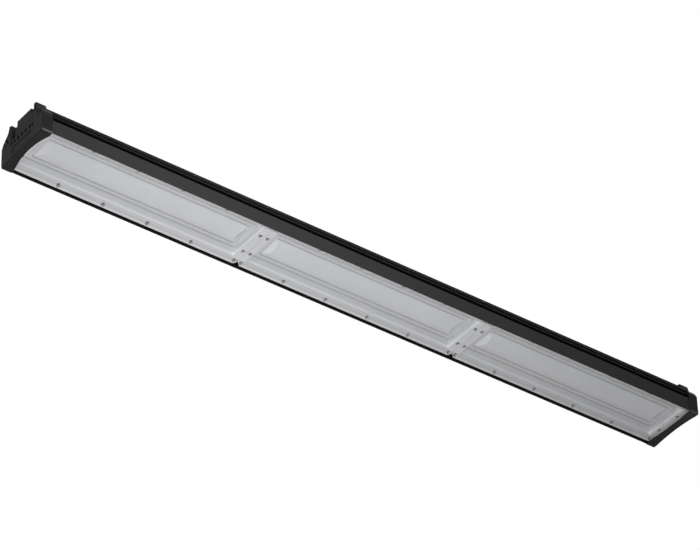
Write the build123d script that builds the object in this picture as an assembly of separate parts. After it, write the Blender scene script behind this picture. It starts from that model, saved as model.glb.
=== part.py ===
from build123d import *
import os

# Linear LED high bay light, lying as it hangs: lenses down, length along X, width along Y.
# Origin: bottom centre of the whole light. All sizes in millimetres.

# Driving dimensions
BODY_LENGTH = 1118.0        # over both end caps
BODY_WIDTH = 100.0          # over the end caps
CAP_LENGTH = 16.0
TOTAL_HEIGHT = 59.3
LENS_COUNT = 3
LENS_PITCH = 367.2
LENS_GAP = 0.4              # between neighbouring lenses
GLAND_REACH = 14.0          # how far the cable gland stands out of the right cap

LEFT_FACE = -(BODY_LENGTH + GLAND_REACH) / 2
RIGHT_FACE = LEFT_FACE + BODY_LENGTH
BODY_CENTRE = (LEFT_FACE + RIGHT_FACE) / 2
HOUSING_LENGTH = BODY_LENGTH - 2 * CAP_LENGTH
HOUSING_LEFT = LEFT_FACE + CAP_LENGTH
HOUSING_RIGHT = RIGHT_FACE - CAP_LENGTH
HALF_WIDTH = BODY_WIDTH / 2

# Heights of the layers, from the rim up
SKIRT_BOTTOM = 0.8
LEDGE_Z = 13.6              # face that the lens seals against
WEB_BOTTOM = 20.5
WEB_TOP = 23.0
TUNNEL_TOP = 54.5
HOUSING_TOP = 57.0
RAIL_TOP = 54.3
RAIL_LIP_T = 2.0

# Widths across the extrusion, from the centre out
TUNNEL_HALF = 16.5
TUNNEL_OUTER = 19.0
RAIL_INNER = 30.3
RAIL_OUTER = 32.5
LEDGE_INNER = 36.2
SKIRT_INNER = 46.8
SKIRT_OUTER = 49.0
RAIL_LIP_EDGE = 28.0        # the rail's lip reaches in to here, over the bracket groove

# Lens
LENS_LENGTH = LENS_PITCH - LENS_GAP
LENS_HALF_WIDTH = 46.4
FLANGE_TOP = 13.4
FLANGE_LINE = [(46.4, 4.6), (43.9, 5.0), (38.3, 7.8)]   # underside of the long flange
FLANGE_END_Z = 7.8
CORNER_CUT = 5.0
TUB_END_MARGIN = 10.7       # from the lens end to the raised tub on the LED side
RECESS_END_MARGIN = 9.7     # and to the edge of the recess on the room side
RECESS_STEP_Z = 12.8        # the recess wall bends here, half way up
FLOOR_Z = 16.3              # underside of the floor round the window
FLOOR_TOP = 18.3
WINDOW_HALF = 19.0
WINDOW_END_MARGIN = 22.7
WINDOW_CROWN_Z = 12.2
WINDOW_END_SLOPE = 7.5
WINDOW_CORNER = 10.0
LENS_WALL = 2.0
FRAME_WIDTH = 3.2           # of each of the two grooves round the window
FRAME_DEPTH = 1.0

# Screws
SCREWS_PER_SIDE = 6
SCREW_SPACING = 71.12
SIDE_SCREW_Y = 42.0
END_SCREW_Y = 20.1
M3_R = 1.5
LENS_HOLE_R = 1.6
HEAD_R = 2.7
HEAD_H = 1.6
CAP_HEAD_H = 2.4
SINK_R = 2.9
SIDE_HEAD_Z = 9.4
END_HEAD_Z = 9.8
SCREW_DEPTH = 3.0           # how far a lens screw reaches past the ledge
END_SCREW_DEPTH = 5.0
CAP_SCREWS = ((25.0, 25.5), (24.0, 35.5))   # lower and upper, as (y, z) on the +Y side
CAP_SCREW_SEAT = 5.0        # metal under the head, from the housing's end face out
CAP_SCREW_REACH = 11.0      # thread inside the housing

# LED board
BOARD_HALF_WIDTH = 28.0
BOARD_MARGIN = 12.0
BOARD_THICKNESS = 1.6
BOARD_BOTTOM = WEB_BOTTOM - BOARD_THICKNESS
CHIP_H = 0.8
CHIP_HALF_X = 1.75
CHIP_HALF_Y = 1.4
CHIP_ROWS = (-6.5, 6.5)
CHIPS_PER_ROW = 24
CHIP_SPACING = 13.0
BOARD_SCREW_X = (-143.0, -45.5, 45.5, 143.0)
BAR_SCREW_Y = 30.0
CROSS_BAR_HALF = 10.4
BAR_HEAD_Z = LEDGE_Z + 0.8  # underside of the cross bar's screw heads
WIRE_HOLE_R = 4.0
WIRE_HOLE_X = 91.0

LENS_NAMES = ("left", "middle", "right")


def lens_centre(i):
    return BODY_CENTRE + (i - 1) * LENS_PITCH


def joint_x(i):
    """Where lens i meets the one before it."""
    return BODY_CENTRE + (i - 1.5) * LENS_PITCH


def section_plane(x):
    """Plane across the light at x: local x is Y, local y is Z, normal +X."""
    return Plane(origin=(x, 0, 0), x_dir=(0, 1, 0), z_dir=(1, 0, 0))


def rect(y0, y1, z0, z1):
    return Pos((y0 + y1) / 2, (z0 + z1) / 2) * Rectangle(y1 - y0, z1 - z0)


def poly(*points):
    return make_face(Polyline(*points, close=True))


def both_sides(sketch):
    return sketch + mirror(sketch, about=Plane.YZ)


def prism(sketch, x0, x1):
    """A cross-section run along the light from x0 to x1."""
    return extrude(section_plane(x0) * sketch, amount=x1 - x0)


def upright(x, y, z0, z1, radius):
    """A vertical round bar or hole."""
    return Pos(x, y, (z0 + z1) / 2) * Cylinder(radius, z1 - z0)


def along_x(x0, x1, y, z, radius):
    """A round bar or hole that lies along the light."""
    return Pos((x0 + x1) / 2, y, z) * Rot(0, 90, 0) * Cylinder(radius, x1 - x0)


def hex_x(x0, x1, y, z, across_flats):
    """A hexagon along the light, as on a nut."""
    flat = RegularPolygon(across_flats / 2, 6, major_radius=False)
    return extrude(section_plane(x0) * (Pos(y, z) * flat), amount=x1 - x0)


def box(x0, x1, y0, y1, z0, z1):
    return Pos((x0 + x1) / 2, (y0 + y1) / 2, (z0 + z1) / 2) * Box(x1 - x0, y1 - y0, z1 - z0)


def flat_loft(z_levels, sizes, radii):
    """A tray-like block lofted upwards through rounded rectangles (half length, half width)."""
    outlines = []
    for z, (half_x, half_y), radius in zip(z_levels, sizes, radii):
        outlines.append(Pos(0, 0, z) * RectangleRounded(2 * half_x, 2 * half_y, radius))
    return loft(outlines, ruled=True)


def save(node, shape):
    pieces = shape.solids()
    whole = pieces[0] if len(pieces) == 1 else Compound(children=pieces)
    export_step(whole, f"parts/{node}.step")


# Screw places, as (x, y) from the centre of one lens
SIDE_SCREWS = [
    ((n - (SCREWS_PER_SIDE - 1) / 2) * SCREW_SPACING, side * SIDE_SCREW_Y)
    for n in range(SCREWS_PER_SIDE)
    for side in (-1, 1)
]
LENS_END_SCREW_X = (SCREWS_PER_SIDE - 1) / 2 * SCREW_SPACING
END_SCREWS = [(ex * LENS_END_SCREW_X, ey * END_SCREW_Y) for ex in (-1, 1) for ey in (-1, 1)]


# Housing: one extrusion, cut to length, then drilled
FIN_THICKNESS = 1.8
FIN_LINES = [
    ((38.0, 30.1), (47.4, 30.1)),
    ((35.2, 32.3), (44.2, 38.2)),
    ((33.4, 34.7), (39.2, 43.0)),
]
CORE = [(RAIL_INNER, WEB_TOP), (40, WEB_TOP), (40, 27), (RAIL_OUTER, 36), (RAIL_INNER, 36)]
CORE_CAVITY = [(32.6, 25.2), (37.8, 25.2), (37.8, 26.2), (32.6, 32.4)]
LEDGE_CAVITY = (39.6, 44.4, 16.8, 19.2)
PORT_R = 3.0                # bosses that the cap screws bite into
PORT_NECK = 2.2             # half the thickness of the neck that carries each boss


def fin(root, tip):
    """A cooling fin with a round tip, from the shoulder's core outwards."""
    return SlotCenterPoint(
        ((root[0] + tip[0]) / 2, (root[1] + tip[1]) / 2), tip, FIN_THICKNESS
    )


def housing_section():
    skirt = rect(SKIRT_INNER, SKIRT_OUTER, SKIRT_BOTTOM, WEB_TOP)
    web = rect(0, SKIRT_OUTER, WEB_BOTTOM, WEB_TOP)
    ledge = rect(LEDGE_INNER, SKIRT_INNER, LEDGE_Z, WEB_BOTTOM) - rect(*LEDGE_CAVITY)
    core = poly(*CORE) - poly(*CORE_CAVITY)
    rail = rect(RAIL_INNER, RAIL_OUTER, WEB_TOP, RAIL_TOP)
    rail += rect(RAIL_LIP_EDGE, RAIL_INNER, RAIL_TOP - RAIL_LIP_T, RAIL_TOP)
    tunnel = rect(TUNNEL_HALF, TUNNEL_OUTER, WEB_TOP, HOUSING_TOP)
    tunnel += rect(0, TUNNEL_OUTER, TUNNEL_TOP, HOUSING_TOP)
    half = skirt + web + ledge + core + rail + tunnel
    for root, tip in FIN_LINES:
        half += fin(root, tip)
    # the lower boss stands on the web, the upper one hangs on the tunnel's wall
    (low_y, low_z), (high_y, high_z) = CAP_SCREWS
    half += rect(low_y - PORT_NECK, low_y + PORT_NECK, WEB_BOTTOM, low_z)
    half += rect(TUNNEL_HALF, high_y, high_z - PORT_NECK, high_z + PORT_NECK)
    for y, z in CAP_SCREWS:
        half += Pos(y, z) * Circle(PORT_R)
        half -= Pos(y, z) * Circle(M3_R)
    return both_sides(half)


def make_housing():
    shape = prism(housing_section(), HOUSING_LEFT, HOUSING_RIGHT)
    for i in range(LENS_COUNT):
        cx = lens_centre(i)
        for sx, sy in SIDE_SCREWS:
            if HOUSING_LEFT < cx + sx < HOUSING_RIGHT:
                shape -= upright(cx + sx, sy, LEDGE_Z - 1, LEDGE_Z + SCREW_DEPTH + 0.2, M3_R)
        for bx in BOARD_SCREW_X:
            shape -= upright(cx + bx, 0, WEB_BOTTOM - 1, WEB_TOP + 1, M3_R)
        shape -= upright(cx + WIRE_HOLE_X, 0, WEB_BOTTOM - 1, WEB_TOP + 1, WIRE_HOLE_R)
    for i in range(1, LENS_COUNT):
        for side in (-1, 1):
            shape -= upright(joint_x(i), side * BAR_SCREW_Y, WEB_BOTTOM - 1, WEB_TOP + 1, M3_R)
    return shape


# End cap, drawn with x = 0 at the housing's end face and x = CAP_LENGTH at its outer face
CAP_EDGE = 1.2              # bevel round the outer face
CAP_FOOT = (0.8, 2.6)       # steep bevel at the bottom of each side: inwards, upwards
ARCH_RISE = 3.0             # the underside arches up this much in the middle
ARCH_HALF_SPAN = 44.0       # and stands on a flat foot outside this
CAP_SHOULDER = [
    (50, 30.8), (48, 34.5), (45.5, 38.8), (41.6, 42.8), (38, 46.3), (35, 49), (33, 55.5),
    (32.2, 58.5), (31, TOTAL_HEIGHT), (28, TOTAL_HEIGHT), (26.8, 57.5), (26.8, 51),
]
PLATE_HALF = 16.5
PLATE_BACK = 3.0            # the middle plate stands this far behind the outer face
PLATE_BOTTOM = 31.0
NOTCH_Z = 51.0
CHANNEL = (21.2, 26.8)      # upright channel on each side, down to the upper screw's head
LENS_ROOM = 8.5             # depth of the space for the end of the lens
LIP_T = 1.6                 # thickness of the lip below it
LIP_MIDDLE = 4.8            # the lip's edge is an arc: this deep in the middle
LIP_HALF_SPAN = 41.0        # and level with the housing's end this far out
VENT_COUNT = 5
VENT_PITCH = 9.1
VENT_BOTTOM = 22.8
VENT_TOP = 30.2
VENT_HALF = 3.7
VENT_TIP_HALF = 0.5
VENT_DEPTH = 6.0
SLOT_DEPTH = 10.0
SHOULDER_SLOTS = [          # wedges between the ribs of the shoulder, each narrow at its root
    [(30.4, 40.6), (33.3, 48.2), (31.4, 55), (29.9, 53)],
    [(31.9, 32.1), (33.9, 31.4), (40.3, 41.5), (37.9, 43.9)],
    [(39, 30), (45.9, 34.4), (42.9, 38.3)],
]
PANEL = (24.0, 5.8, 18.0)   # half width, bottom and top of the shallow bare panel
PANEL_DEPTH = 0.8
PANEL_CORNER = 3.0
GLAND_Z = 43.0
GLAND_BORE_R = 8.0
POCKET = (14.5, 29.0, 56.0)
POCKET_DEPTH = 9.0
GASKET_T = 1.0
LENS_CAP_SCREW_X = LENS_PITCH + LENS_END_SCREW_X - HOUSING_LENGTH / 2


def cap_outline():
    right = [(ARCH_HALF_SPAN, 0), (HALF_WIDTH - CAP_FOOT[0], 0), (HALF_WIDTH, CAP_FOOT[1])]
    right += CAP_SHOULDER
    right += [(PLATE_HALF + 1, NOTCH_Z), (PLATE_HALF, NOTCH_Z + 1), (PLATE_HALF, TOTAL_HEIGHT)]
    left = [(-y, z) for y, z in reversed(right)]
    arch = ThreePointArc((-ARCH_HALF_SPAN, 0), (0, ARCH_RISE), (ARCH_HALF_SPAN, 0))
    return make_face(Polyline(*right, *left) + arch)


def lens_room():
    """Cross-section of the space for the end of the lens, over the arched lip."""
    span = ARCH_HALF_SPAN
    arch = ThreePointArc((-span, LIP_T), (0, ARCH_RISE + LIP_T), (span, LIP_T))
    walls = Polyline((span, LIP_T), (SKIRT_INNER, LIP_T), (SKIRT_INNER, LEDGE_Z),
                     (-SKIRT_INNER, LEDGE_Z), (-SKIRT_INNER, LIP_T), (-span, LIP_T))
    return make_face(arch + walls)


def lip_cut():
    """Plan of what the arc takes off the lip."""
    side = LIP_HALF_SPAN
    back = Polyline((0, -side), (-1, -side), (-1, side), (0, side))
    return make_face(back + ThreePointArc((0, side), (LIP_MIDDLE, 0), (0, -side)))


def vent(y):
    """Cross-section of one saw-tooth vent."""
    return poly((y - VENT_HALF, VENT_BOTTOM), (y + VENT_HALF, VENT_BOTTOM),
                (y + VENT_TIP_HALF, VENT_TOP), (y - VENT_TIP_HALF, VENT_TOP))


def make_cap():
    outline = cap_outline()
    shape = prism(outline, 0, CAP_LENGTH - CAP_EDGE)
    shape += extrude(section_plane(CAP_LENGTH - CAP_EDGE) * outline, amount=CAP_EDGE, taper=45)
    # room for the end of the lens, and the arc of the lip below it
    shape -= prism(lens_room(), 0, LENS_ROOM)
    shape -= Pos(0, 0, -1) * extrude(lip_cut(), amount=ARCH_RISE + LIP_T + 2)
    # middle plate, stepped back as far as the channels
    middle = sum(CHANNEL) / 2
    shape -= box(CAP_LENGTH - PLATE_BACK, CAP_LENGTH + 1, -middle, middle, PLATE_BOTTOM,
                 TOTAL_HEIGHT + 1)
    (low_y, low_z), _ = CAP_SCREWS
    for side in (-1, 1):
        # channel of the upper screw, open to the notch above, and the lower screw's sunk hole
        y0, y1 = sorted((side * CHANNEL[0], side * CHANNEL[1]))
        shape -= box(CAP_SCREW_SEAT, CAP_LENGTH + 1, y0, y1, PLATE_BOTTOM, NOTCH_Z + 1)
        shape -= along_x(CAP_SCREW_SEAT, CAP_LENGTH + 1, side * low_y, low_z, SINK_R)
        for y, z in CAP_SCREWS:
            shape -= along_x(-1, CAP_SCREW_SEAT + 1, side * y, z, M3_R)
    # blind slots of the shoulders, in line with the gaps between the fins
    slots = Sketch()
    for points in SHOULDER_SLOTS:
        slots += poly(*points)
    shape -= prism(both_sides(slots), CAP_LENGTH - SLOT_DEPTH, CAP_LENGTH + 1)
    for n in range(VENT_COUNT):
        tooth = vent((n - (VENT_COUNT - 1) / 2) * VENT_PITCH)
        shape -= prism(tooth, CAP_LENGTH - VENT_DEPTH, CAP_LENGTH + 1)
    half, low, high = PANEL
    panel = Pos(0, (low + high) / 2) * RectangleRounded(2 * half, high - low, PANEL_CORNER)
    shape -= prism(panel, CAP_LENGTH - PANEL_DEPTH, CAP_LENGTH + 1)
    # pocket behind the middle plate, for the wires, and the seat of the seal round it
    half, low, high = POCKET
    shape -= prism(rect(-half, half, low, high), -1, POCKET_DEPTH)
    shape -= prism(rect(-TUNNEL_OUTER, TUNNEL_OUTER, WEB_TOP, HOUSING_TOP), -1, GASKET_T)
    # threaded places for the four screws at the end of the lens
    for y in (-SIDE_SCREW_Y, -END_SCREW_Y, END_SCREW_Y, SIDE_SCREW_Y):
        shape -= upright(LENS_CAP_SCREW_X, y, LEDGE_Z - 1, LEDGE_Z + END_SCREW_DEPTH + 0.5, M3_R)
    return shape


def make_cap_gasket():
    """Flat seal on the tunnel's end face, inside the cap's outline."""
    half, low, high = POCKET
    ring = rect(-TUNNEL_OUTER, TUNNEL_OUTER, WEB_TOP, HOUSING_TOP) - rect(-half, half, low, high)
    return prism(ring & cap_outline(), 0, GASKET_T)


def make_cap_screws():
    screws = []
    for side in (-1, 1):
        for y, z in CAP_SCREWS:
            shank = along_x(-CAP_SCREW_REACH, CAP_SCREW_SEAT, side * y, z, M3_R)
            head = along_x(CAP_SCREW_SEAT, CAP_SCREW_SEAT + CAP_HEAD_H, side * y, z, HEAD_R)
            screws.append((shank + head).solids()[0])
    return Compound(children=screws)


def to_right(shape):
    return Pos(HOUSING_RIGHT, 0, 0) * shape


def to_left(shape):
    return Pos(HOUSING_LEFT, 0, 0) * mirror(shape, about=Plane.YZ)


# Lens: one moulded tray with a sealed flange, sloped wings and a long crowned window
GROOVE_SEAT_Z = 11.8
GASKET_OUTER_Y = 40.0
GASKET_INNER_Y = 37.8
GASKET_END_OUTER = 7.9
GASKET_END_INNER = 10.1


def gasket_ring(z0, z1):
    outer = RectangleRounded(LENS_LENGTH - 2 * GASKET_END_OUTER, 2 * GASKET_OUTER_Y, 5)
    inner = RectangleRounded(LENS_LENGTH - 2 * GASKET_END_INNER, 2 * GASKET_INNER_Y, 3)
    return Pos(0, 0, z0) * extrude(outer - inner, amount=z1 - z0)


def crown(half_width, foot_z, top_z):
    """Cross-section of the window: flat at its foot, a shallow arc below."""
    foot = Line((half_width, foot_z), (-half_width, foot_z))
    arc = ThreePointArc((-half_width, foot_z), (0, top_z), (half_width, foot_z))
    return make_face(foot + arc)


def window_block(half_length, half_width, foot_z, top_z, slope, radius):
    """The crowned window with sloped ends and rounded corners, filled."""
    block = prism(crown(half_width, foot_z, top_z), -half_length, half_length)
    side = make_face(Polyline((-half_length, foot_z), (half_length, foot_z),
                              (half_length - slope, top_z), (-half_length + slope, top_z),
                              close=True))
    block &= extrude(Plane.XZ * side, amount=half_width + 1, both=True)
    plan = RectangleRounded(2 * half_length, 2 * half_width, radius)
    return block & Pos(0, 0, top_z - 1) * extrude(plan, amount=foot_z - top_z + 2)


def frame_ring(half_x, half_y, width, z0, z1):
    outer = RectangleRounded(2 * half_x, 2 * half_y, 2 + width)
    inner = RectangleRounded(2 * (half_x - width), 2 * (half_y - width), 2)
    return Pos(0, 0, z0) * extrude(outer - inner, amount=z1 - z0)


def make_lens():
    half = LENS_LENGTH / 2
    low_z = FLANGE_LINE[0][1]
    plan = chamfer(Rectangle(LENS_LENGTH, 2 * LENS_HALF_WIDTH).vertices(), CORNER_CUT)
    shape = Pos(0, 0, low_z) * extrude(plan, amount=FLANGE_TOP - low_z)
    side = HALF_WIDTH
    under = poly((0, 0), (0, FLANGE_END_Z), *reversed(FLANGE_LINE), (side, low_z), (side, 0))
    shape -= prism(both_sides(under), -half - 1, half + 1)
    # raised tub on the LED side
    tub_x = half - TUB_END_MARGIN
    shape += flat_loft((FLANGE_TOP - 0.4, FLOOR_TOP), ((tub_x, 36.0), (tub_x - 0.9, 31.2)), (6, 5))
    # recess on the room side, in two slopes down to the floor
    edge = (half - RECESS_END_MARGIN, 38.3)
    step = (edge[0] - 1.8, 35.0)
    floor = (edge[0] - 3.1, 29.5)
    shape -= flat_loft((FLANGE_END_Z, RECESS_STEP_Z), (edge, step), (3, 2.5))
    shape -= flat_loft((RECESS_STEP_Z, FLOOR_Z), (step, floor), (2.5, 2))
    shape -= flat_loft((low_z - 1, FLANGE_END_Z), (edge, edge), (3, 3))
    # crowned window and its hollow
    win_x = half - WINDOW_END_MARGIN
    shape += window_block(win_x, WINDOW_HALF, FLOOR_Z + 0.4, WINDOW_CROWN_Z, WINDOW_END_SLOPE,
                          WINDOW_CORNER)
    shape -= window_block(win_x - LENS_WALL, WINDOW_HALF - LENS_WALL, FLOOR_TOP,
                          WINDOW_CROWN_Z + LENS_WALL, WINDOW_END_SLOPE, WINDOW_CORNER - 1)
    # two fine grooves round the window
    for half_x, half_y in (floor, (win_x + FRAME_WIDTH, WINDOW_HALF + FRAME_WIDTH)):
        shape -= frame_ring(half_x, half_y, FRAME_WIDTH, FLOOR_Z - 0.1, FLOOR_Z + FRAME_DEPTH)
    # groove for the seal, and the sunk screw holes
    shape -= gasket_ring(GROOVE_SEAT_Z, FLANGE_TOP + 1)
    for head_z, places in ((SIDE_HEAD_Z, SIDE_SCREWS), (END_HEAD_Z, END_SCREWS)):
        for x, y in places:
            shape -= upright(x, y, low_z - 1, head_z + HEAD_H, SINK_R)
            shape -= upright(x, y, low_z - 1, FLANGE_TOP + 1, LENS_HOLE_R)
    return shape


def round_screw(x, y, head_z, tip_z):
    """A pan-head screw that points up, its head at the bottom."""
    head = upright(x, y, head_z, head_z + HEAD_H, HEAD_R)
    return (head + upright(x, y, head_z + HEAD_H, tip_z, M3_R)).solids()[0]


def make_lens_screws():
    screws = [round_screw(x, y, SIDE_HEAD_Z, LEDGE_Z + SCREW_DEPTH) for x, y in SIDE_SCREWS]
    screws += [round_screw(x, y, END_HEAD_Z, LEDGE_Z + END_SCREW_DEPTH) for x, y in END_SCREWS]
    return Compound(children=screws)


# LED board, its chips and its screws
def make_board():
    half = LENS_LENGTH / 2 - BOARD_MARGIN
    shape = box(-half, half, -BOARD_HALF_WIDTH, BOARD_HALF_WIDTH, BOARD_BOTTOM, WEB_BOTTOM)
    for x in BOARD_SCREW_X:
        shape -= upright(x, 0, BOARD_BOTTOM - 1, WEB_BOTTOM + 1, M3_R)
    return shape - upright(WIRE_HOLE_X, 0, BOARD_BOTTOM - 1, WEB_BOTTOM + 1, WIRE_HOLE_R - 1)


def make_chips():
    chips = []
    for n in range(CHIPS_PER_ROW):
        x = (n - (CHIPS_PER_ROW - 1) / 2) * CHIP_SPACING
        for y in CHIP_ROWS:
            chip = box(x - CHIP_HALF_X, x + CHIP_HALF_X, y - CHIP_HALF_Y, y + CHIP_HALF_Y,
                       BOARD_BOTTOM - CHIP_H, BOARD_BOTTOM)
            chips.append(chip.solids()[0])
    return Compound(children=chips)


def make_board_screws():
    screws = []
    for i in range(LENS_COUNT):
        for x in BOARD_SCREW_X:
            screws.append(round_screw(lens_centre(i) + x, 0, BOARD_BOTTOM - HEAD_H, WEB_TOP - 0.1))
    return Compound(children=screws)


# Cross bars under the web, where two lenses meet
BAR_HALF_WIDTH = LEDGE_INNER - 0.2


def make_cross_bar(i):
    x = joint_x(i)
    shape = box(x - CROSS_BAR_HALF, x + CROSS_BAR_HALF, -BAR_HALF_WIDTH, BAR_HALF_WIDTH,
                LEDGE_Z, WEB_BOTTOM)
    offset = LENS_PITCH / 2 - LENS_END_SCREW_X
    thread_top = LEDGE_Z + END_SCREW_DEPTH + 0.5
    for side in (-1, 1):
        for end in (-1, 1):
            shape -= upright(x + end * offset, side * END_SCREW_Y, LEDGE_Z - 1, thread_top, M3_R)
        shape -= upright(x, side * BAR_SCREW_Y, LEDGE_Z - 1, WEB_BOTTOM + 1, M3_R)
        shape -= upright(x, side * BAR_SCREW_Y, LEDGE_Z - 1, BAR_HEAD_Z + HEAD_H, SINK_R)
    return shape


def make_bar_screws():
    screws = []
    for i in range(1, LENS_COUNT):
        for side in (-1, 1):
            screws.append(round_screw(joint_x(i), side * BAR_SCREW_Y, BAR_HEAD_Z, WEB_TOP - 0.2))
    return Compound(children=screws)


# Rubber grommets in the web, one to a board
GROMMET_LIP = 1.2
GROMMET_WALL = 1.4


def make_grommets():
    rings = []
    for i in range(LENS_COUNT):
        x = lens_centre(i) + WIRE_HOLE_X
        ring = upright(x, 0, WEB_BOTTOM, WEB_TOP + GROMMET_LIP, WIRE_HOLE_R)
        ring += upright(x, 0, WEB_TOP, WEB_TOP + GROMMET_LIP, WIRE_HOLE_R + GROMMET_LIP)
        ring -= upright(x, 0, WEB_BOTTOM - 1, WEB_TOP + GROMMET_LIP + 1, WIRE_HOLE_R - GROMMET_WALL)
        rings.append(ring.solids()[0])
    return Compound(children=rings)


# Driver on a folded tray that slides into the tunnel
TRAY_T = 1.2
TRAY_LENGTH = 250.0
TRAY_RIGHT = HOUSING_RIGHT - 12.0
TRAY_LEFT = TRAY_RIGHT - TRAY_LENGTH
TRAY_HALF = TUNNEL_HALF - 0.3
TRAY_Z = WEB_TOP + 1.6
TRAY_SIDE = 7.0
DRIVER_LENGTH = 190.0
DRIVER_HALF = 14.0
DRIVER_H = 24.0
DRIVER_RIB_PITCH = 4.4
DRIVER_RIB_HALF = 0.9
DRIVER_RIB_DEPTH = 1.2
DRIVER_LEFT = TRAY_LEFT + 12.0
DRIVER_Z = TRAY_Z + TRAY_T
TAB = 9.0
TAB_HALF = 7.0
TAB_T = 2.0
TERMINAL_LEFT = DRIVER_LEFT + DRIVER_LENGTH + TAB + 4.0
TERMINAL_PITCH = 8.0
TERMINAL_WAYS = 3
TERMINAL_LENGTH = 18.0
TERMINAL_H = 12.0
TERMINAL_WIRE_Z = 4.5       # above the tray
TERMINAL_WIRE_R = 1.8
TERMINAL_SCREW_R = 2.0
TERMINAL_SCREW_DEPTH = 4.0
TERMINAL_SCREW_EDGE = 5.0   # from each end of the block
EARTH_X = TRAY_RIGHT - 6.0


def driver_screw_places():
    return (DRIVER_LEFT - TAB / 2, DRIVER_LEFT + DRIVER_LENGTH + TAB / 2)


def make_tray():
    floor = rect(-TRAY_HALF, TRAY_HALF, TRAY_Z, DRIVER_Z)
    wall = rect(TRAY_HALF - TRAY_T, TRAY_HALF, TRAY_Z, TRAY_Z + TRAY_SIDE)
    foot = rect(TRAY_HALF - TRAY_T, TRAY_HALF, WEB_TOP, TRAY_Z)
    shape = prism(floor + both_sides(wall + foot), TRAY_LEFT, TRAY_RIGHT)
    for x in (*driver_screw_places(), EARTH_X):
        shape -= upright(x, 0, TRAY_Z - 1, DRIVER_Z + 1, M3_R)
    return shape


def make_driver():
    x0, x1 = DRIVER_LEFT, DRIVER_LEFT + DRIVER_LENGTH
    section = Pos(0, DRIVER_Z + DRIVER_H / 2) * RectangleRounded(2 * DRIVER_HALF, DRIVER_H, 2)
    shape = prism(section, x0, x1)
    shape += box(x0 - TAB, x1 + TAB, -TAB_HALF, TAB_HALF, DRIVER_Z, DRIVER_Z + TAB_T)
    for x in driver_screw_places():
        shape -= upright(x, 0, DRIVER_Z - 1, DRIVER_Z + TAB_T + 1, M3_R)
    # shallow grooves along the top, for cooling
    top = DRIVER_Z + DRIVER_H
    for n in range(-2, 3):
        y = n * DRIVER_RIB_PITCH
        shape -= box(x0 + TAB, x1 - TAB, y - DRIVER_RIB_HALF, y + DRIVER_RIB_HALF,
                     top - DRIVER_RIB_DEPTH, top + 1)
    return shape


def down_screw(x, y, seat_z, tip_z):
    """A pan-head screw that points down, its head on top."""
    head = upright(x, y, seat_z, seat_z + HEAD_H, HEAD_R)
    return (head + upright(x, y, tip_z, seat_z, M3_R)).solids()[0]


def make_driver_screws():
    screws = [down_screw(x, 0, DRIVER_Z + TAB_T, TRAY_Z) for x in driver_screw_places()]
    return Compound(children=screws)


def make_terminal_block():
    x0 = TERMINAL_LEFT
    x1 = x0 + TERMINAL_LENGTH
    top = DRIVER_Z + TERMINAL_H
    half = TERMINAL_PITCH * TERMINAL_WAYS / 2
    shape = box(x0, x1, -half, half, DRIVER_Z, top)
    for n in range(TERMINAL_WAYS):
        y = (n - (TERMINAL_WAYS - 1) / 2) * TERMINAL_PITCH
        shape -= along_x(x0 - 1, x1 + 1, y, DRIVER_Z + TERMINAL_WIRE_Z, TERMINAL_WIRE_R)
        for x in (x0 + TERMINAL_SCREW_EDGE, x1 - TERMINAL_SCREW_EDGE):
            shape -= upright(x, y, top - TERMINAL_SCREW_DEPTH, top + 1, TERMINAL_SCREW_R)
    return shape


def make_earth_screw():
    return down_screw(EARTH_X, 0, DRIVER_Z, TRAY_Z)


# Cable gland in the right cap, drawn like the cap from the housing's end face out
GLAND_WALL_OUT = CAP_LENGTH - PLATE_BACK
GLAND_FLATS = 22.0
CABLE_R = 4.0
GLAND_PASS_R = 5.0
WASHER_T = 1.5
WASHER_R = 10.6
BODY_HEX_T = 5.5
BODY_SPIGOT = 6.0           # of the body inside the nut
BODY_INNER_X = 3.5          # thread end inside the cap's pocket
SEAL_R = 6.8
SEAL_LENGTH = 8.0
NUT_ROUND_R = 8.8
NUT_ROUND_LENGTH = 3.0
NUT_CAVITY = 7.0
LOCKNUT_T = 4.0


def gland_ring(x0, x1, outer, inner):
    return along_x(x0, x1, 0, GLAND_Z, outer) - along_x(x0 - 1, x1 + 1, 0, GLAND_Z, inner)


def make_gland_washer():
    return gland_ring(GLAND_WALL_OUT, GLAND_WALL_OUT + WASHER_T, WASHER_R, GLAND_BORE_R)


def make_gland_body():
    hex_x0 = GLAND_WALL_OUT + WASHER_T
    hex_x1 = hex_x0 + BODY_HEX_T
    shape = along_x(BODY_INNER_X, hex_x1 + BODY_SPIGOT, 0, GLAND_Z, GLAND_BORE_R)
    shape += hex_x(hex_x0, hex_x1, 0, GLAND_Z, GLAND_FLATS)
    shape -= along_x(0, hex_x1 + BODY_SPIGOT + 1, 0, GLAND_Z, GLAND_PASS_R)
    return shape - along_x(hex_x1 - 1, hex_x1 + BODY_SPIGOT + 1, 0, GLAND_Z, SEAL_R)


def make_gland_seal():
    x0 = GLAND_WALL_OUT + WASHER_T + BODY_HEX_T - 1
    return gland_ring(x0, x0 + SEAL_LENGTH, SEAL_R, CABLE_R)


def make_gland_nut():
    x0 = GLAND_WALL_OUT + WASHER_T + BODY_HEX_T
    x1 = CAP_LENGTH + GLAND_REACH
    shape = hex_x(x0, x1 - NUT_ROUND_LENGTH, 0, GLAND_Z, GLAND_FLATS - 1)
    shape += along_x(x0, x1, 0, GLAND_Z, NUT_ROUND_R)
    shape -= along_x(x0 - 1, x0 + NUT_CAVITY, 0, GLAND_Z, GLAND_BORE_R)
    return shape - along_x(x0, x1 + 1, 0, GLAND_Z, GLAND_PASS_R)


def make_gland_locknut():
    nut = hex_x(POCKET_DEPTH - LOCKNUT_T, POCKET_DEPTH, 0, GLAND_Z, GLAND_FLATS)
    return nut - along_x(0, POCKET_DEPTH + 1, 0, GLAND_Z, GLAND_BORE_R)


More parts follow.
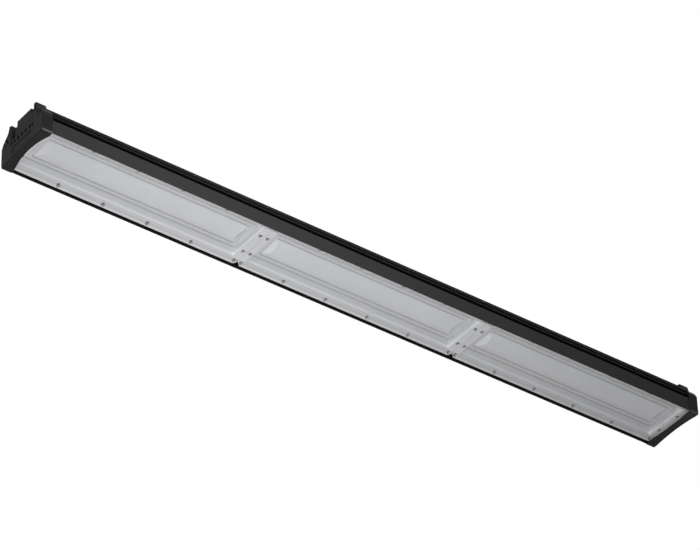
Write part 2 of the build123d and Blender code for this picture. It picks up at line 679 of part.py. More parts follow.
def main():
    os.makedirs("parts", exist_ok=True)
    save("housing", make_housing())

    cap = make_cap()
    save("left_end_cap", to_left(cap))
    gland_hole = along_x(POCKET_DEPTH - 1, GLAND_WALL_OUT + 1, 0, GLAND_Z, GLAND_BORE_R)
    save("right_end_cap", to_right(cap - gland_hole))
    save("left_cap_gasket", to_left(make_cap_gasket()))
    save("right_cap_gasket", to_right(make_cap_gasket()))
    save("left_cap_screws", to_left(make_cap_screws()))
    save("right_cap_screws", to_right(make_cap_screws()))

    lens = make_lens()
    seal = gasket_ring(GROOVE_SEAT_Z, LEDGE_Z)
    lens_screws = make_lens_screws()
    board = make_board()
    chips = make_chips()
    for i, name in enumerate(LENS_NAMES):
        place = Pos(lens_centre(i), 0, 0)
        save(f"lens_{name}", place * lens)
        save(f"lens_gasket_{name}", place * seal)
        save(f"lens_screws_{name}", place * lens_screws)
        save(f"led_board_{name}", place * board)
        save(f"led_chips_{name}", place * chips)
    save("led_board_screws", make_board_screws())

    save("cross_bar_left", make_cross_bar(1))
    save("cross_bar_right", make_cross_bar(2))
    save("cross_bar_screws", make_bar_screws())
    save("wire_grommets", make_grommets())

    save("driver_tray", make_tray())
    save("driver_case", make_driver())
    save("driver_screws", make_driver_screws())
    save("terminal_block", make_terminal_block())
    save("earth_screw", make_earth_screw())

    save("gland_washer", to_right(make_gland_washer()))
    save("gland_body", to_right(make_gland_body()))
    save("gland_seal", to_right(make_gland_seal()))
    save("gland_nut", to_right(make_gland_nut()))
    save("gland_locknut", to_right(make_gland_locknut()))


main()
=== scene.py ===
import math

import bmesh
import bpy
from mathutils import Matrix, Vector


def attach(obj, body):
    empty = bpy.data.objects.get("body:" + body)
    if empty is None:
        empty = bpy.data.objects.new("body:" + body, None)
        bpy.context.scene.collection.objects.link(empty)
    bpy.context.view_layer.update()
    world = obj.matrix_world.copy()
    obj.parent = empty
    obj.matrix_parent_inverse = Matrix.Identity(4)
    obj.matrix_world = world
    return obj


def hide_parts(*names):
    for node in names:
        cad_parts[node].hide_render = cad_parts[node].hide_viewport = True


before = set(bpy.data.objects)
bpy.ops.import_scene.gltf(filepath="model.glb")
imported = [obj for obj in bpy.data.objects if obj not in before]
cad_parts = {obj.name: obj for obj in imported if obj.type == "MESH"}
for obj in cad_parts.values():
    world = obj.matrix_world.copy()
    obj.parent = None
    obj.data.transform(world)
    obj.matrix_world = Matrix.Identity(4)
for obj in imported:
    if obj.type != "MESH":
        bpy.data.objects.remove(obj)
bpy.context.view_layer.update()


# Housing: one aluminium extrusion, cut to length and anodised black. Its skirts, web, cooling
# fins, bracket rails and driver tunnel all run from end to end, and the inner bottom edge of
# each skirt is broken, which leaves a thin rim beside the lenses.
MM = 0.001
HOUSING_DEEP = "#1a1a1a"
HOUSING_PALE = "#363636"
HOUSING_INNER_SHADE = "#0a0a0a"       # painted shade: the skirts' inner faces beside the lenses are painted deeper black
FIN_SHADE_TONE = 0.25                 # painted shade: the fins' and web's place between deep and pale
# painted light: the skirts' outer faces lie near the pale end
SKIRT_LIGHT_TONE = 0.95
STREAK_TONE = 0.12
ANODIC_GLOSS = 0.06
DIE_LINE_LENGTH = 500 * MM
DIE_LINE_SPACING = 0.9 * MM     # real lines are about 0.2 mm apart, too fine to show
DIE_LINE_DEPTH = 0.05 * MM
SATIN_GRAIN = 1.4 * MM          # the etched grain is about 0.1 mm, too fine to show
SKIRT_TOP = 24.5 * MM
SKIRT_FACE = 48.9 * MM
SKIRT_INNER = 46.8 * MM
SKIRT_BOTTOM = 0.8 * MM
LENS_LEDGE = 8 * MM
BROKEN_EDGE = 1.8 * MM
MERGE = 0.001 * MM
CLOSE = 10 * MERGE
FLAT = math.radians(0.1)
SHARP = math.radians(30)


def linear(code):
    """An sRGB hex colour as the linear colour that a shader takes."""
    parts = [int(code[i:i + 2], 16) / 255 for i in (1, 3, 5)]
    return [p / 12.92 if p <= 0.04045 else ((p + 0.055) / 1.055) ** 2.4 for p in parts] + [1.0]


def add(tree, kind, inputs=None, into=None, **settings):
    """Adds a shader node with its settings, sets or links its inputs, and links it on."""
    def result(node):
        return node.outputs[2 if node.bl_idname == "ShaderNodeMix" else 0]

    made = tree.nodes.new("ShaderNode" + kind)
    for name, value in settings.items():
        setattr(made, name, value)
    for name, value in (inputs or {}).items():
        if isinstance(value, bpy.types.Node):
            value = result(value)
        if isinstance(value, bpy.types.NodeSocket):
            tree.links.new(value, made.inputs[name])
        else:
            made.inputs[name].default_value = value
    if into is not None:
        tree.links.new(result(made), into)
    return made


def new_material(name, **shader_values):
    """A material, its nodes and its shader's inputs; an underscore in a name is a space."""
    made = bpy.data.materials.new(name)
    made.use_nodes = True
    tree = made.node_tree
    shader = tree.nodes["Principled BSDF"]
    for key, value in shader_values.items():
        shader.inputs[key.replace("_", " ")].default_value = value
    return made, tree, shader.inputs


# Anodised aluminium is a matt black with a soft sheen. The die leaves faint lines along it. The
# skirts' outer faces are painted paler as painted light, and the fins and web darker as painted
# shade.
anodised, tree, shader = new_material("black anodised aluminium", IOR=1.5,
                                      Specular_IOR_Level=ANODIC_GLOSS)
place = add(tree, "TexCoord").outputs["Object"]
drawn = add(tree, "Mapping", {"Vector": place, "Scale": (1 / DIE_LINE_LENGTH,
                                                         1 / DIE_LINE_SPACING,
                                                         1 / DIE_LINE_SPACING)})
lines = add(tree, "TexNoise", {"Vector": drawn, "Scale": 1.0, "Detail": 2.0})
grain = add(tree, "TexNoise", {"Vector": place, "Scale": 1 / SATIN_GRAIN, "Detail": 3.0})
spot = add(tree, "SeparateXYZ", {"Vector": place}).outputs
# painted light and shade: the skirts' outer faces pale, the rest of the extrusion deep
side = add(tree, "Math", {0: spot["Y"]}, operation="ABSOLUTE")
outer = add(tree, "Math", {0: side, 1: SKIRT_FACE}, operation="GREATER_THAN")
below = add(tree, "Math", {0: spot["Z"], 1: SKIRT_TOP}, operation="LESS_THAN")
skirt = add(tree, "Math", {0: outer, 1: below}, operation="MULTIPLY")
skirt_light_level = add(tree, "MapRange", {"Value": skirt, "To Min": FIN_SHADE_TONE, "To Max": SKIRT_LIGHT_TONE})
streaks = add(tree, "MapRange", {"Value": lines, "To Min": -STREAK_TONE, "To Max": STREAK_TONE})
tone = add(tree, "Math", {0: skirt_light_level, 1: streaks}, operation="ADD")
skin = add(tree, "Mix", {0: tone, 6: linear(HOUSING_DEEP), 7: linear(HOUSING_PALE)},
           data_type="RGBA")
# painted shade on the skirts' inner faces and broken edges below the lens ledge
within = add(tree, "Math", {0: side, 1: SKIRT_FACE}, operation="LESS_THAN")
low = add(tree, "Math", {0: spot["Z"], 1: LENS_LEDGE}, operation="LESS_THAN")
shaded = add(tree, "Math", {0: within, 1: low}, operation="MULTIPLY")
add(tree, "Mix", {0: shaded, 6: skin, 7: linear(HOUSING_INNER_SHADE)}, shader["Base Color"],
    data_type="RGBA")
add(tree, "MapRange", {"Value": grain, "To Min": 0.42, "To Max": 0.54}, shader["Roughness"])
add(tree, "Bump", {"Height": lines, "Distance": DIE_LINE_DEPTH, "Strength": 0.3},
    shader["Normal"])

extrusion = bmesh.new()
extrusion.from_mesh(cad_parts["housing"].data)
bmesh.ops.remove_doubles(extrusion, verts=extrusion.verts, dist=MERGE)
low_edges = [edge for edge in extrusion.edges
             if min(vert.co.z for vert in edge.verts) < SKIRT_BOTTOM + MERGE]
bmesh.ops.dissolve_limit(extrusion, angle_limit=FLAT, edges=low_edges, verts=[])
inner_edges = [edge for edge in extrusion.edges
               if all(abs(vert.co.z - SKIRT_BOTTOM) < CLOSE for vert in edge.verts)
               and all(abs(abs(vert.co.y) - SKIRT_INNER) < CLOSE for vert in edge.verts)]
bmesh.ops.bevel(extrusion, geom=inner_edges, offset=BROKEN_EDGE, affect="EDGES", segments=1,
                profile=0.5, material=-1)
housing_mesh = bpy.data.meshes.new("extruded_housing")
extrusion.to_mesh(housing_mesh)
extrusion.free()
housing_mesh.shade_smooth()
housing_mesh.set_sharp_from_angle(angle=SHARP)
housing_mesh.materials.clear()
housing_mesh.materials.append(anodised)
housing = bpy.data.objects.new("extruded_housing", housing_mesh)
bpy.context.scene.collection.objects.link(housing)
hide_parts("housing")
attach(housing, "root")


# Driver: a potted LED driver on a folded zinc-plated tray that slides into the housing's tunnel,
# with a screw terminal block for the mains and an earth screw through the tray.
ZINC_DEEP = "#8f949a"
ZINC_PALE = "#a9adb2"
ZINC_SPANGLE = 6 * MM
DRIVER_DEEP = "#66696d"
DRIVER_PALE = "#72757a"
DRIVER_GRAIN = 0.8 * MM         # the moulded grain is about 0.1 mm, too fine to show
DRIVER_GRAIN_DEPTH = 0.03 * MM
TERMINAL_DEEP = "#dcdcd4"
TERMINAL_PALE = "#e6e6df"
TERMINAL_GRAIN = 1.0 * MM       # about 0.1 mm on the real one, too fine to show


def grained_material(name, grain, tones, roughness, detail=2.0, depth=0, **shader_values):
    """A material whose grain moves it between two tones and two degrees of roughness."""
    made, tree, shader = new_material(name, **shader_values)
    place = add(tree, "TexCoord").outputs["Object"]
    noise = add(tree, "TexNoise", {"Vector": place, "Scale": 1 / grain, "Detail": detail})
    add(tree, "Mix", {0: noise, 6: linear(tones[0]), 7: linear(tones[1])},
        shader["Base Color"], data_type="RGBA")
    add(tree, "MapRange", {"Value": noise, "To Min": roughness[0], "To Max": roughness[1]},
        shader["Roughness"])
    if depth:
        add(tree, "Bump", {"Height": noise, "Distance": depth, "Strength": 0.4},
            shader["Normal"])
    return made


def finish_nodes(material, *names):
    """Gives CAD nodes their finish."""
    for name in names:
        for material_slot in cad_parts[name].material_slots:
            material_slot.material = material


# Zinc plate shows as spangles, each with its own grey and its own shine.
zinc, tree, shader = new_material("zinc-plated steel sheet", Metallic=1.0)
place = add(tree, "TexCoord").outputs["Object"]
spangle = add(tree, "TexVoronoi", {"Vector": place, "Scale": 1 / ZINC_SPANGLE}).outputs
add(tree, "Mix", {0: spangle["Color"], 6: linear(ZINC_DEEP), 7: linear(ZINC_PALE)},
    shader["Base Color"], data_type="RGBA")
add(tree, "MapRange", {"Value": spangle["Distance"], "To Min": 0.32, "To Max": 0.48},
    shader["Roughness"])
finish_nodes(zinc, "driver_tray")

# Moulded polyester is an even grey with a dull skin that is a little uneven.
moulded_grey = grained_material(
    "moulded grey polyester", DRIVER_GRAIN, (DRIVER_DEEP, DRIVER_PALE), (0.5, 0.62),
    depth=DRIVER_GRAIN_DEPTH, IOR=1.52)
finish_nodes(moulded_grey, "driver_case")

# Moulded polyamide is a warm white with a low shine.
moulded_white = grained_material(
    "moulded white polyamide", TERMINAL_GRAIN, (TERMINAL_DEEP, TERMINAL_PALE), (0.34, 0.42),
    IOR=1.53)
finish_nodes(moulded_white, "terminal_block")


# Cross bars: milled aluminium blocks screwed up under the web where two lenses meet, so that the
# lens ends have something to be screwed and sealed to.
BAR_DEEP = "#a3a6a9"
BAR_PALE = "#b4b7ba"
MILL_MARK_SPACING = 0.7 * MM    # real marks are about 0.2 mm apart, too fine to show
MILL_MARK_LENGTH = 50 * MM
MILL_MARK_DEPTH = 0.03 * MM

# Milled aluminium is a bright grey with fine bars of tool marks across the cut.
milled, tree, shader = new_material("milled aluminium", Metallic=1.0)
place = add(tree, "TexCoord").outputs["Object"]
feed = add(tree, "Mapping", {"Vector": place, "Scale": (1 / MILL_MARK_SPACING,
                                                        1 / MILL_MARK_LENGTH,
                                                        1 / MILL_MARK_LENGTH)})
marks = add(tree, "TexNoise", {"Vector": feed, "Scale": 1.0, "Detail": 2.0})
add(tree, "Mix", {0: marks, 6: linear(BAR_DEEP), 7: linear(BAR_PALE)}, shader["Base Color"],
    data_type="RGBA")
add(tree, "MapRange", {"Value": marks, "To Min": 0.3, "To Max": 0.44}, shader["Roughness"])
add(tree, "Bump", {"Height": marks, "Distance": MILL_MARK_DEPTH, "Strength": 0.4},
    shader["Normal"])
finish_nodes(milled, "cross_bar_left", "cross_bar_right")


# LED boards: aluminium-core boards under white solder mask, two rows of chips on each, held by
# four screws through the web. The wires leave through a rubber grommet.
MASK_DEEP = "#dfe2df"
MASK_PALE = "#eceeeb"
TRACK_LENGTH = 13 * MM
TRACK_WIDTH = 5 * MM
TRACK_GAP = 0.25 * MM
TRACK_TONE = 0.8
PHOSPHOR_DEEP = "#d9b23a"
PHOSPHOR_PALE = "#ead07a"
PHOSPHOR_GRAIN = 0.4 * MM       # the powder is about 0.02 mm, too fine to show
PHOSPHOR_SCATTER = 0.5 * MM
RUBBER_DEEP = "#161616"
RUBBER_PALE = "#222222"
RUBBER_BLOOM = 2.5 * MM

# Solder mask is a clean white lacquer. The copper tracks under it show as slightly paler blocks.
mask, tree, shader = new_material("white solder mask", IOR=1.5, Coat_Weight=0.2)
place = add(tree, "TexCoord").outputs["Object"]
tracks = add(tree, "TexBrick", {"Vector": place, "Scale": 1.0, "Brick Width": TRACK_LENGTH,
                                "Row Height": TRACK_WIDTH, "Mortar Size": TRACK_GAP,
                                "Color1": (1, 1, 1, 1),
                                "Color2": (TRACK_TONE, TRACK_TONE, TRACK_TONE, 1)}).outputs
add(tree, "Mix", {0: tracks["Color"], 6: linear(MASK_DEEP), 7: linear(MASK_PALE)},
    shader["Base Color"], data_type="RGBA")
add(tree, "MapRange", {"Value": tracks["Fac"], "To Min": 0.3, "To Max": 0.36},
    shader["Roughness"])
finish_nodes(mask, "led_board_left", "led_board_middle", "led_board_right")

# The phosphor is a soft yellow gel with grains of powder in it.
phosphor = grained_material(
    "phosphor-filled silicone", PHOSPHOR_GRAIN, (PHOSPHOR_DEEP, PHOSPHOR_PALE), (0.2, 0.3),
    IOR=1.41, Subsurface_Weight=0.3, Subsurface_Scale=PHOSPHOR_SCATTER)
finish_nodes(phosphor, "led_chips_left", "led_chips_middle", "led_chips_right")

# Rubber is a dull black with a faint grey bloom.
rubber = grained_material(
    "black EPDM rubber", RUBBER_BLOOM, (RUBBER_DEEP, RUBBER_PALE), (0.6, 0.75), detail=3.0,
    IOR=1.52, Specular_IOR_Level=0.35)
finish_nodes(rubber, "wire_grommets", "left_cap_gasket", "right_cap_gasket", "gland_washer",
             "gland_seal")


# End caps: aluminium castings with a fine-textured black powder coat, each held by four sunk
# screws into ports of the extrusion and sealed to its tunnel by a flat rubber gasket.
CAP_DEEP = "#1a1a1b"
CAP_PALE = "#252526"
CAP_GLOSS = 0.08
COAT_PATCH = 14 * MM
POWDER_GRAIN = 1.6 * MM         # the real texture is about 0.3 mm, too fine to show
POWDER_DEPTH = 0.12 * MM
FOOT_HIGHLIGHT = "#5c5d5e"           # painted highlight: a paler strip along the steep bevel at each foot
FOOT_BEVEL_TOP = 2.6 * MM
FOOT_BEVEL_Y = 49.0 * MM
VENT_SHADE = "#070707"          # painted shade: the vents' insides are painted deep black
VENT_FLOOR = 22 * MM
VENT_ROOF = 31 * MM
VENT_HALF_WIDTH = 24 * MM
LEFT_VENT_MOUTH = -564.6 * MM
RIGHT_VENT_MOUTH = 550.6 * MM
BLACK_STEEL_DEEP = "#191a1b"
BLACK_STEEL_PALE = "#2b2c2e"
OXIDE_GRAIN = 1.2 * MM          # about 0.05 mm on real screws, too fine to show

# Powder coat is a matt black with a fine orange peel. A painted highlight runs along the bevel
# at each foot, and painted shade fills the vents.
powder, tree, shader = new_material("textured black powder coat", IOR=1.5,
                                    Specular_IOR_Level=CAP_GLOSS)
place = add(tree, "TexCoord").outputs["Object"]
peel = add(tree, "TexNoise", {"Vector": place, "Scale": 1 / POWDER_GRAIN, "Detail": 4.0})
patches = add(tree, "TexNoise", {"Vector": place, "Scale": 1 / COAT_PATCH, "Detail": 2.0})
coat = add(tree, "Mix", {0: patches, 6: linear(CAP_DEEP), 7: linear(CAP_PALE)},
           data_type="RGBA")
spot = add(tree, "SeparateXYZ", {"Vector": place}).outputs
side = add(tree, "Math", {0: spot["Y"]}, operation="ABSOLUTE")
low = add(tree, "Math", {0: spot["Z"], 1: FOOT_BEVEL_TOP}, operation="LESS_THAN")
outer = add(tree, "Math", {0: side, 1: FOOT_BEVEL_Y}, operation="GREATER_THAN")
foot = add(tree, "Math", {0: low, 1: outer}, operation="MULTIPLY")
# painted highlight along the bevel at each foot
highlit_foot = add(tree, "Mix", {0: foot, 6: coat, 7: linear(FOOT_HIGHLIGHT)}, data_type="RGBA")
# painted shade inside the vents
vent = add(tree, "Math", {0: side, 1: VENT_HALF_WIDTH}, operation="LESS_THAN")
for axis, limit, test in (("Z", VENT_FLOOR, "GREATER_THAN"), ("Z", VENT_ROOF, "LESS_THAN"),
                          ("X", LEFT_VENT_MOUTH, "GREATER_THAN"),
                          ("X", RIGHT_VENT_MOUTH, "LESS_THAN")):
    inside = add(tree, "Math", {0: spot[axis], 1: limit}, operation=test)
    vent = add(tree, "Math", {0: vent, 1: inside}, operation="MULTIPLY")
add(tree, "Mix", {0: vent, 6: highlit_foot, 7: linear(VENT_SHADE)}, shader["Base Color"],
    data_type="RGBA")
add(tree, "MapRange", {"Value": peel, "To Min": 0.5, "To Max": 0.66}, shader["Roughness"])
add(tree, "Bump", {"Height": peel, "Distance": POWDER_DEPTH, "Strength": 0.5},
    shader["Normal"])
finish_nodes(powder, "left_end_cap", "right_end_cap")

# Blackened steel is a dark oxide with a weak metal shine.
black_steel = grained_material(
    "blackened steel", OXIDE_GRAIN, (BLACK_STEEL_DEEP, BLACK_STEEL_PALE), (0.4, 0.55),
    Metallic=0.8)
finish_nodes(black_steel, "left_cap_screws", "right_cap_screws")


# Lenses: three injection-moulded trays of frosted polycarbonate, each sealed by a silicone cord
# in its flange and held by sixteen sunk screws.
LENS_DEEP = "#d1d2d4"
LENS_PALE = "#dcdde0"
LENS_RIM_LIGHT = "#e2e3e5"            # painted light: outside the window the tray is painted paler, so that its walls read as lit
LENS_SHADE = "#8f9092"          # painted shade on the slopes, walls and grooves; where the wall is thin the housing's black also shows through
FROST_GRAIN = 1.5 * MM          # the moulded frost is about 0.1 mm, too fine to show
FROST_DEPTH = 0.02 * MM
FLOW_MARK = 60 * MM
SCATTER = 3.0 * MM
LENS_PITCH = 367.2 * MM
MIDDLE_LENS_X = -7.0 * MM
WINDOW_HALF_Y = 18.8 * MM
WINDOW_HALF_X = 161 * MM
GROOVE_DEPTH = 16.5 * MM        # above this lie the two grooves round the window
GROOVE_EDGE = 0.3 * MM
GROOVE_SHADE = 0.5
GROOVE_END_SHARE = 0.3          # the grooves are fainter where they cross the tray
HEIGHT_SPAN = 20 * MM
# painted shade: how much of the shade tone each height of the tray's flange and walls takes
SHADE_AT_HEIGHT = [(0.0, 0.15), (5.1, 0.15), (5.5, 0.5), (7.4, 0.5), (7.7, 0.15), (7.85, 0.15),
                   (8.0, 0.5), (8.8, 0.4), (9.6, 0.0), (11.8, 0.0), (13.2, 0.35), (16.5, 0.35)]
SILICONE_DEEP = "#b9b8b2"
SILICONE_PALE = "#c6c5bf"
SILICONE_DUST = 3 * MM
SILICONE_SCATTER = 1.0 * MM

# Frosted polycarbonate scatters light inside its wall, so that edges look soft and the surface
# has a dull satin shine. Its steep walls, slopes and grooves are painted greyer as painted
# shade; where the wall is thin, the housing's black also shows through.
frosted, tree, shader = new_material(
    "frosted polycarbonate", IOR=1.585, Specular_IOR_Level=0.4, Subsurface_Weight=0.5,
    Subsurface_Scale=SCATTER, Subsurface_Radius=(1.0, 1.0, 1.0))
place = add(tree, "TexCoord").outputs["Object"]
frost = add(tree, "TexNoise", {"Vector": place, "Scale": 1 / FROST_GRAIN, "Detail": 2.0})
flow = add(tree, "TexNoise", {"Vector": place, "Scale": 1 / FLOW_MARK, "Detail": 1.0})
body = add(tree, "Mix", {0: flow, 6: linear(LENS_DEEP), 7: linear(LENS_PALE)},
           data_type="RGBA")
spot = add(tree, "SeparateXYZ", {"Vector": place}).outputs

half = add(tree, "Math", {0: spot["Y"]}, operation="ABSOLUTE")
beside = add(tree, "Math", {0: half, 1: WINDOW_HALF_Y}, operation="GREATER_THAN")
local = add(tree, "Math", {0: spot["X"], 1: MIDDLE_LENS_X + LENS_PITCH / 2,
                           2: MIDDLE_LENS_X - LENS_PITCH / 2}, operation="WRAP")
from_middle = add(tree, "Math", {0: local, 1: MIDDLE_LENS_X}, operation="SUBTRACT")
reach = add(tree, "Math", {0: from_middle}, operation="ABSOLUTE")
beyond = add(tree, "Math", {0: reach, 1: WINDOW_HALF_X}, operation="GREATER_THAN")
around = add(tree, "Math", {0: beside, 1: beyond}, operation="MAXIMUM")

height = add(tree, "MapRange", {"Value": spot["Z"], "From Max": HEIGHT_SPAN})
ramp = add(tree, "ValToRGB", {"Fac": height})
stops = ramp.color_ramp.elements
for height_mm, amount in SHADE_AT_HEIGHT[1:-1]:
    stops.new(height_mm * MM / HEIGHT_SPAN)
for stop, (height_mm, amount) in zip(stops, SHADE_AT_HEIGHT):
    stop.position = height_mm * MM / HEIGHT_SPAN
    stop.color = (amount, amount, amount, 1.0)
walls = add(tree, "Math", {0: ramp, 1: around}, operation="MULTIPLY")
grooves = add(tree, "MapRange", {"Value": spot["Z"], "From Min": GROOVE_DEPTH,
                                 "From Max": GROOVE_DEPTH + GROOVE_EDGE,
                                 "To Max": GROOVE_SHADE})
share = add(tree, "MapRange", {"Value": beside, "To Min": GROOVE_END_SHARE})
lines = add(tree, "Math", {0: grooves, 1: share}, operation="MULTIPLY")
shade = add(tree, "Math", {0: lines, 1: walls}, operation="MAXIMUM")

# painted light: the tray outside the window is painted paler
tray = add(tree, "Mix", {0: around, 6: body, 7: linear(LENS_RIM_LIGHT)}, data_type="RGBA")
add(tree, "Mix", {0: shade, 6: tray, 7: linear(LENS_SHADE)}, shader["Base Color"],
    data_type="RGBA")
add(tree, "MapRange", {"Value": frost, "To Min": 0.42, "To Max": 0.52}, shader["Roughness"])
add(tree, "Bump", {"Height": frost, "Distance": FROST_DEPTH, "Strength": 0.25},
    shader["Normal"])
finish_nodes(frosted, "lens_left", "lens_middle", "lens_right")

# Silicone is a milky grey that holds a little dust.
silicone = grained_material(
    "silicone cord", SILICONE_DUST, (SILICONE_DEEP, SILICONE_PALE), (0.5, 0.6), detail=3.0,
    IOR=1.41, Subsurface_Weight=0.2, Subsurface_Scale=SILICONE_SCATTER)
finish_nodes(silicone, "lens_gasket_left", "lens_gasket_middle", "lens_gasket_right")


# Screws: stainless M3 screws with a hexagon socket, cold headed and tumbled, sunk in the lens
# flanges. The boards, the cross bars and the driver tray are held by the same kind of screw.
STAINLESS_DEEP = "#6f7174"
STAINLESS_PALE = "#85878a"
TUMBLED_GRAIN = 0.6 * MM        # the tumbled grain is about 0.05 mm, too fine to show
SIDE_SCREW_SPACING = 71.12 * MM
SIDE_SCREWS_FROM_MIDDLE = (-2.5, -1.5, -0.5, 0.5, 1.5, 2.5)
SIDE_SCREW_Y = 42.0 * MM
SIDE_HEAD_Z = 9.4 * MM
SIDE_TIP_Z = 16.6 * MM
END_SCREW_X = 177.8 * MM
END_SCREW_Y = 20.1 * MM
END_HEAD_Z = 9.8 * MM
END_TIP_Z = 18.6 * MM
HEAD_RADIUS = 2.7 * MM
HEAD_HEIGHT = 1.6 * MM
HEAD_ROUNDING = 0.4 * MM
THREAD_RADIUS = 1.5 * MM
SOCKET_RADIUS = 1.44 * MM       # across the corners of a 2.5 mm hexagon
SOCKET_DEPTH = 1.0 * MM
HEXAGON = 6
ROUND_SIDES = 24

# Stainless steel is a cool grey metal with a satin shine.
stainless = grained_material(
    "stainless steel", TUMBLED_GRAIN, (STAINLESS_DEEP, STAINLESS_PALE), (0.28, 0.4),
    Metallic=1.0)
finish_nodes(stainless, "led_board_screws", "cross_bar_screws", "driver_screws", "earth_screw")


def add_screw(shell, x, y, head_z, tip_z):
    """A socket screw that points up: rings from the socket's floor round to the tip."""
    rings = [(HEXAGON, SOCKET_RADIUS, head_z + SOCKET_DEPTH), (HEXAGON, SOCKET_RADIUS, head_z),
             (ROUND_SIDES, HEAD_RADIUS - HEAD_ROUNDING, head_z),
             (ROUND_SIDES, HEAD_RADIUS, head_z + HEAD_ROUNDING),
             (ROUND_SIDES, HEAD_RADIUS, head_z + HEAD_HEIGHT),
             (ROUND_SIDES, THREAD_RADIUS, head_z + HEAD_HEIGHT),
             (ROUND_SIDES, THREAD_RADIUS, tip_z)]
    last_edges = None
    for sides, radius, z in rings:
        ends = z in (rings[0][2], rings[-1][2])
        ring = bmesh.ops.create_circle(shell, cap_ends=ends, radius=radius, segments=sides,
                                       matrix=Matrix.Translation((x, y, z)))
        edges = list({edge for vert in ring["verts"] for edge in vert.link_edges})
        if last_edges:
            bmesh.ops.bridge_loops(shell, edges=last_edges + edges)
        last_edges = edges


for lens, name in enumerate(("left", "middle", "right")):
    centre = MIDDLE_LENS_X + (lens - 1) * LENS_PITCH
    shell = bmesh.new()
    for row in (-1, 1):
        for step in SIDE_SCREWS_FROM_MIDDLE:
            add_screw(shell, centre + step * SIDE_SCREW_SPACING, row * SIDE_SCREW_Y,
                      SIDE_HEAD_Z, SIDE_TIP_Z)
        for end in (-1, 1):
            add_screw(shell, centre + end * END_SCREW_X, row * END_SCREW_Y,
                      END_HEAD_Z, END_TIP_Z)
    bmesh.ops.recalc_face_normals(shell, faces=shell.faces)
    screw_mesh = bpy.data.meshes.new("socket_screws_" + name)
    shell.to_mesh(screw_mesh)
    shell.free()
    screw_mesh.shade_smooth()
    screw_mesh.set_sharp_from_angle(angle=SHARP)
    screw_mesh.materials.append(stainless)
    screws = bpy.data.objects.new("socket_screws_" + name, screw_mesh)
    bpy.context.scene.collection.objects.link(screws)
    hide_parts("lens_screws_" + name)
    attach(screws, "root")


# Cable gland: a black moulded polyamide gland through the right cap, with its sealing washer,
# its rubber insert and its locknut inside.
GLAND_DEEP = "#1b1c1d"
GLAND_PALE = "#242526"
GLAND_GRAIN = 1.0 * MM          # the moulded grain is about 0.1 mm, too fine to show

# Black polyamide has a low, even shine.
gland_black = grained_material(
    "black moulded polyamide", GLAND_GRAIN, (GLAND_DEEP, GLAND_PALE), (0.38, 0.5),
    IOR=1.53)
finish_nodes(gland_black, "gland_body", "gland_nut", "gland_locknut")


# Studio: a pale floor far below the hanging light and an even white surround. One soft lamp
# skims the skirts from the near left, one lights the lenses from below, and a large one lights
# the fins and the back.
FLOOR_DEPTH = 9.0
FLOOR_HALF = 40.0
FLOOR_COLOUR = "#f4f4f4"
SURROUND_COLOUR = "#ffffff"
SURROUND_LIGHT = 0.15
WHITE = 1.0
LAMPS = {
    "near_lamp": {"at": (-0.72, -1.2, 0.05), "aim": (-0.2, 0, 0), "size": 0.5, "watts": 1.65,
                  "spread": 56},
    "under_lamp": {"at": (-1.0, -0.3, -1.4), "aim": (-0.05, 0, 0), "size": 0.7, "watts": 3.15,
                   "spread": 66},
    "far_lamp": {"at": (1.2, 2.5, 2.0), "aim": (0, 0, 0), "size": 2.0, "watts": 150,
                 "spread": 180},
}

floor_mesh = bpy.data.meshes.new("floor")
sheet = bmesh.new()
bmesh.ops.create_grid(sheet, x_segments=1, y_segments=1, size=FLOOR_HALF,
                      matrix=Matrix.Translation((0, 0, -FLOOR_DEPTH)))
sheet.to_mesh(floor_mesh)
sheet.free()
floor = bpy.data.objects.new("floor", floor_mesh)
bpy.context.scene.collection.objects.link(floor)


def seen_directly(tree):
    """1 for rays that show the background itself, in the picture or in gloss and glass."""
    path = add(tree, "LightPath").outputs
    first = add(tree, "Math", {0: path["Is Camera Ray"], 1: path["Is Glossy Ray"]},
                operation="MAXIMUM")
    return add(tree, "Math", {0: first, 1: path["Is Transmission Ray"]}, operation="MAXIMUM")


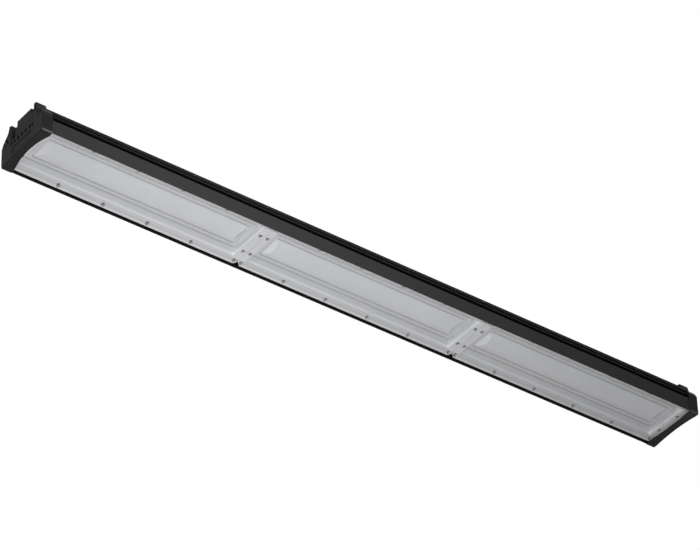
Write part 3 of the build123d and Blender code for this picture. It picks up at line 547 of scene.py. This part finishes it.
painted, tree, shader = new_material("matt white floor paint", Roughness=0.9)
shader["Base Color"].default_value = linear(FLOOR_COLOUR)
shader["Emission Color"].default_value = linear(SURROUND_COLOUR)
tree.links.new(seen_directly(tree).outputs[0], shader["Emission Strength"])
floor.data.materials.append(painted)

world = bpy.data.worlds.new("studio")
bpy.context.scene.world = world
world.use_nodes = True
tree = world.node_tree
background = tree.nodes["Background"].inputs
background["Color"].default_value = linear(SURROUND_COLOUR)
add(tree, "MapRange", {"Value": seen_directly(tree), "To Min": SURROUND_LIGHT,
                       "To Max": WHITE}, background["Strength"])

for name, lamp in LAMPS.items():
    light = bpy.data.lights.new(name, "AREA")
    light.size = lamp["size"]
    light.energy = lamp["watts"]
    light.spread = math.radians(lamp["spread"])
    holder = bpy.data.objects.new(name, light)
    holder.location = lamp["at"]
    beam = Vector(lamp["aim"]) - Vector(lamp["at"])
    holder.rotation_mode = "QUATERNION"
    holder.rotation_quaternion = beam.to_track_quat("-Z", "Y")
    holder.visible_camera = False
    bpy.context.scene.collection.objects.link(holder)


# Camera: from the near left, well below the light, with a long lens.
VIEW_AZIMUTH = math.radians(-37.585)
VIEW_ELEVATION = math.radians(-37.750)
VIEW_ROLL = math.radians(-1.796)
VIEW_DISTANCE = 5.6878
VIEW_AIM = Vector((0.0003, 0.0409, 0.0675))
VIEW_END = 200.0
SENSOR_MM = 36.0
FOCAL_MM = 210.65

back = Vector((math.sin(VIEW_AZIMUTH) * math.cos(VIEW_ELEVATION),
               -math.cos(VIEW_AZIMUTH) * math.cos(VIEW_ELEVATION), math.sin(VIEW_ELEVATION)))
level_view = (-back).to_track_quat("-Z", "Y").to_matrix()
turn = Matrix.Rotation(VIEW_ROLL, 3, "Z")
optics = bpy.data.cameras.new("camera")
optics.sensor_width = SENSOR_MM
optics.lens = FOCAL_MM
optics.clip_end = VIEW_END
camera = bpy.data.objects.new("camera", optics)
camera.matrix_world = (level_view @ turn).to_4x4()
camera.location = VIEW_AIM + back * VIEW_DISTANCE
bpy.context.scene.collection.objects.link(camera)
bpy.context.scene.camera = camera
bpy.context.scene.view_settings.view_transform = "Standard"
